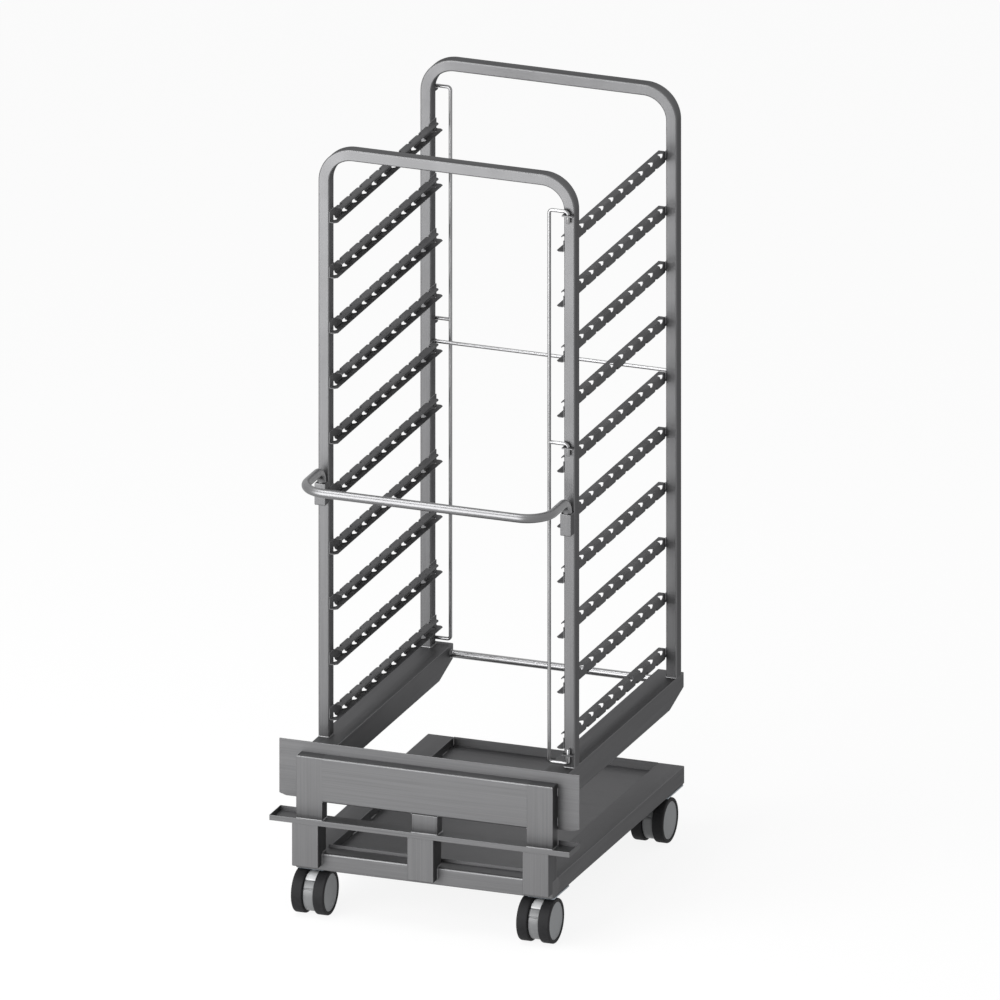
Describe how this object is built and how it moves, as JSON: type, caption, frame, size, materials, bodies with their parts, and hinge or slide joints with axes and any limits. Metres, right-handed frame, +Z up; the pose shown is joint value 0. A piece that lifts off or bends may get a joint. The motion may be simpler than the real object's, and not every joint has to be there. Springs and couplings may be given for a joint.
{
  "type": "oven rack trolley",
  "caption": "Stainless oven rack trolley: punched tray rails between two tube frames, wire tray gates, lift-off push handle and low chassis on twin-wheel casters.",
  "frame": {"origin": "on the floor under the middle of the trolley's outline", "axes": "+Z up, -Y towards the push handle at the front, +X to the right"},
  "size_m": [0.69, 0.833, 1.705],
  "materials": {
    "brushed_stainless": "satin, brushed along the tube or sheet",
    "polished_stainless": "fine ground round tube and wire",
    "zinc_plate": "bright zinc plating",
    "caster_nylon": "moulded grey nylon",
    "tyre_rubber": "black rubber tyre on a grey disc"
  },
  "bodies": {
    "root": {"front_frame": "brushed_stainless", "rear_frame": "brushed_stainless", "rail_left_1": "brushed_stainless", "rail_left_2": "brushed_stainless", "rail_left_3": "brushed_stainless", "rail_left_4": "brushed_stainless", "rail_left_5": "brushed_stainless", "rail_left_6": "brushed_stainless", "rail_left_7": "brushed_stainless", "rail_left_8": "brushed_stainless", "rail_left_9": "brushed_stainless", "rail_left_10": "brushed_stainless", "rail_right_1": "brushed_stainless", "rail_right_2": "brushed_stainless", "rail_right_3": "brushed_stainless", "rail_right_4": "brushed_stainless", "rail_right_5": "brushed_stainless", "rail_right_6": "brushed_stainless", "rail_right_7": "brushed_stainless", "rail_right_8": "brushed_stainless", "rail_right_9": "brushed_stainless", "rail_right_10": "brushed_stainless", "runner_left": "brushed_stainless", "runner_right": "brushed_stainless", "rear_base_rod": "brushed_stainless", "rear_stop_rod": "brushed_stainless", "splash_panel": "brushed_stainless", "portal_beam": "brushed_stainless", "portal_posts": "brushed_stainless", "drip_gutter": "brushed_stainless", "lower_legs": "brushed_stainless", "chassis_beam_left": "brushed_stainless", "chassis_beam_right": "brushed_stainless", "front_cross_member": "brushed_stainless", "rear_cross_member": "brushed_stainless", "floor_pan": "brushed_stainless", "handle_sockets": "brushed_stainless", "gate_brackets_front": "brushed_stainless", "gate_brackets_rear": "brushed_stainless", "caster_plates": "zinc_plate", "caster_screws": "zinc_plate"},
    "push_handle": {"push_handle": "polished_stainless"},
    "front_gate": {"front_tray_gate": "polished_stainless"},
    "rear_gate": {"rear_tray_gate": "polished_stainless"},
    "swivel_front_left": {"caster_body_front_left": "caster_nylon", "axle_front_left": "zinc_plate"},
    "wheel_front_left_a": {"wheel_front_left_a": "tyre_rubber"},
    "wheel_front_left_b": {"wheel_front_left_b": "tyre_rubber"},
    "swivel_front_right": {"caster_body_front_right": "caster_nylon", "axle_front_right": "zinc_plate"},
    "wheel_front_right_a": {"wheel_front_right_a": "tyre_rubber"},
    "wheel_front_right_b": {"wheel_front_right_b": "tyre_rubber"},
    "swivel_rear_left": {"caster_body_rear_left": "caster_nylon", "axle_rear_left": "zinc_plate"},
    "wheel_rear_left_a": {"wheel_rear_left_a": "tyre_rubber"},
    "wheel_rear_left_b": {"wheel_rear_left_b": "tyre_rubber"},
    "swivel_rear_right": {"caster_body_rear_right": "caster_nylon", "axle_rear_right": "zinc_plate"},
    "wheel_rear_right_a": {"wheel_rear_right_a": "tyre_rubber"},
    "wheel_rear_right_b": {"wheel_rear_right_b": "tyre_rubber"}
  },
  "joints": [
    {"name": "push_handle_lift", "type": "slide", "parent": "root", "child": "push_handle", "axis": [0, 0, 1], "range_m": [0, 0.05]},
    {"name": "front_gate_swing", "type": "hinge", "parent": "root", "child": "front_gate", "pos_m": [0.2825, -0.2585, 1.1], "axis": [0, 0, 1], "range_deg": [0, 65]},
    {"name": "rear_gate_swing", "type": "hinge", "parent": "root", "child": "rear_gate", "pos_m": [-0.2825, 0.4055, 1.1], "axis": [0, 0, 1], "range_deg": [0, 180]},
    {"name": "swivel_front_left", "type": "hinge", "parent": "root", "child": "swivel_front_left", "pos_m": [-0.259, -0.3315, 0.1015], "axis": [0, 0, 1], "continuous": true},
    {"name": "roll_front_left_a", "type": "hinge", "parent": "swivel_front_left", "child": "wheel_front_left_a", "pos_m": [-0.259, -0.3665, 0.05], "axis": [1, 0, 0], "continuous": true},
    {"name": "roll_front_left_b", "type": "hinge", "parent": "swivel_front_left", "child": "wheel_front_left_b", "pos_m": [-0.259, -0.3665, 0.05], "axis": [1, 0, 0], "continuous": true},
    {"name": "swivel_front_right", "type": "hinge", "parent": "root", "child": "swivel_front_right", "pos_m": [0.259, -0.3315, 0.1015], "axis": [0, 0, 1], "continuous": true},
    {"name": "roll_front_right_a", "type": "hinge", "parent": "swivel_front_right", "child": "wheel_front_right_a", "pos_m": [0.259, -0.3665, 0.05], "axis": [1, 0, 0], "continuous": true},
    {"name": "roll_front_right_b", "type": "hinge", "parent": "swivel_front_right", "child": "wheel_front_right_b", "pos_m": [0.259, -0.3665, 0.05], "axis": [1, 0, 0], "continuous": true},
    {"name": "swivel_rear_left", "type": "hinge", "parent": "root", "child": "swivel_rear_left", "pos_m": [-0.259, 0.3625, 0.1015], "axis": [0, 0, 1], "continuous": true},
    {"name": "roll_rear_left_a", "type": "hinge", "parent": "swivel_rear_left", "child": "wheel_rear_left_a", "pos_m": [-0.259, 0.3275, 0.05], "axis": [1, 0, 0], "continuous": true},
    {"name": "roll_rear_left_b", "type": "hinge", "parent": "swivel_rear_left", "child": "wheel_rear_left_b", "pos_m": [-0.259, 0.3275, 0.05], "axis": [1, 0, 0], "continuous": true},
    {"name": "swivel_rear_right", "type": "hinge", "parent": "root", "child": "swivel_rear_right", "pos_m": [0.259, 0.3625, 0.1015], "axis": [0, 0, 1], "continuous": true},
    {"name": "roll_rear_right_a", "type": "hinge", "parent": "swivel_rear_right", "child": "wheel_rear_right_a", "pos_m": [0.259, 0.3275, 0.05], "axis": [1, 0, 0], "continuous": true},
    {"name": "roll_rear_right_b", "type": "hinge", "parent": "swivel_rear_right", "child": "wheel_rear_right_b", "pos_m": [0.259, 0.3275, 0.05], "axis": [1, 0, 0], "continuous": true}
  ]
}
